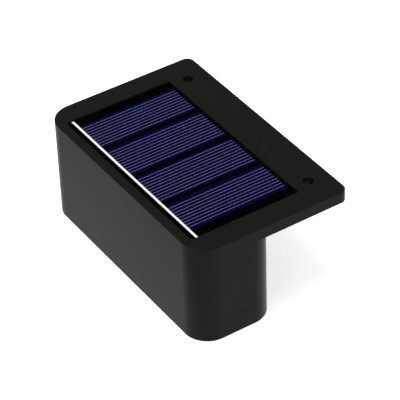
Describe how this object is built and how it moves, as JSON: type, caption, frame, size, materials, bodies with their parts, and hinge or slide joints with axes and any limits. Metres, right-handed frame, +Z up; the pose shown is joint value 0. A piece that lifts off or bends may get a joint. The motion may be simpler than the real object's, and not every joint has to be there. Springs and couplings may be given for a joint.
{
  "type": "solar fence light",
  "caption": "Small black solar light for a fence rail: top plate with a sunken solar panel, hollow body with a downward frosted window, and a rear screw flange.",
  "frame": {"origin": "middle of the whole footprint, on the plane that the light stands on, which is the underside of the bottom cover", "axes": "+Z up, +X along the width, the front face looks along -Y and the fence is at +Y"},
  "size_m": [0.1, 0.0632, 0.0411],
  "materials": {
    "black_plastic": "fine satin moulding",
    "seal_rubber": "matte",
    "frosted_lens": "frosted, fluted",
    "white_plastic": "smooth",
    "circuit_board": "white solder mask",
    "led_phosphor": "smooth",
    "black_component": "matte",
    "component_can": "bright",
    "sheet_steel": "nickel plated",
    "screw_steel": "zinc plated",
    "knob_plastic": "smooth",
    "battery_can": "plain sleeve",
    "holder_plastic": "satin",
    "foam_tape": "matte",
    "panel_black": "matte",
    "silicon_cell": "dark blue",
    "white_ribbon": "matte white",
    "clear_resin": "clear",
    "red_insulation": "smooth",
    "black_insulation": "smooth"
  },
  "bodies": {
    "light": {"housing": "black_plastic", "bottom_cover": "black_plastic", "seam_gasket": "seal_rubber", "lens": "frosted_lens", "lens_gasket": "seal_rubber", "reflector": "white_plastic", "led_board": "circuit_board", "leds": "led_phosphor", "controller_chip": "black_component", "inductor": "black_component", "capacitor": "component_can", "switch_case": "sheet_steel", "switch_base": "black_component", "switch_pins": "sheet_steel", "cover_screws": "screw_steel", "board_screws": "screw_steel", "battery": "battery_can", "battery_holder": "holder_plastic", "holder_pad": "foam_tape", "contact_positive": "sheet_steel", "contact_negative": "sheet_steel", "panel_adhesive": "foam_tape", "panel_board": "panel_black", "solar_cell_1": "silicon_cell", "solar_cell_2": "silicon_cell", "solar_cell_3": "silicon_cell", "solar_cell_4": "silicon_cell", "bus_bar": "white_ribbon", "panel_resin": "clear_resin", "wire_seal": "seal_rubber", "panel_wire_red": "red_insulation", "panel_wire_black": "black_insulation", "battery_wire_red": "red_insulation", "battery_wire_black": "black_insulation"},
    "knob": {"switch_knob": "knob_plastic"}
  },
  "joints": [
    {"name": "switch_slide", "type": "slide", "parent": "light", "child": "knob", "axis": [0, 1, 0], "range_m": [0, 0.002]}
  ]
}
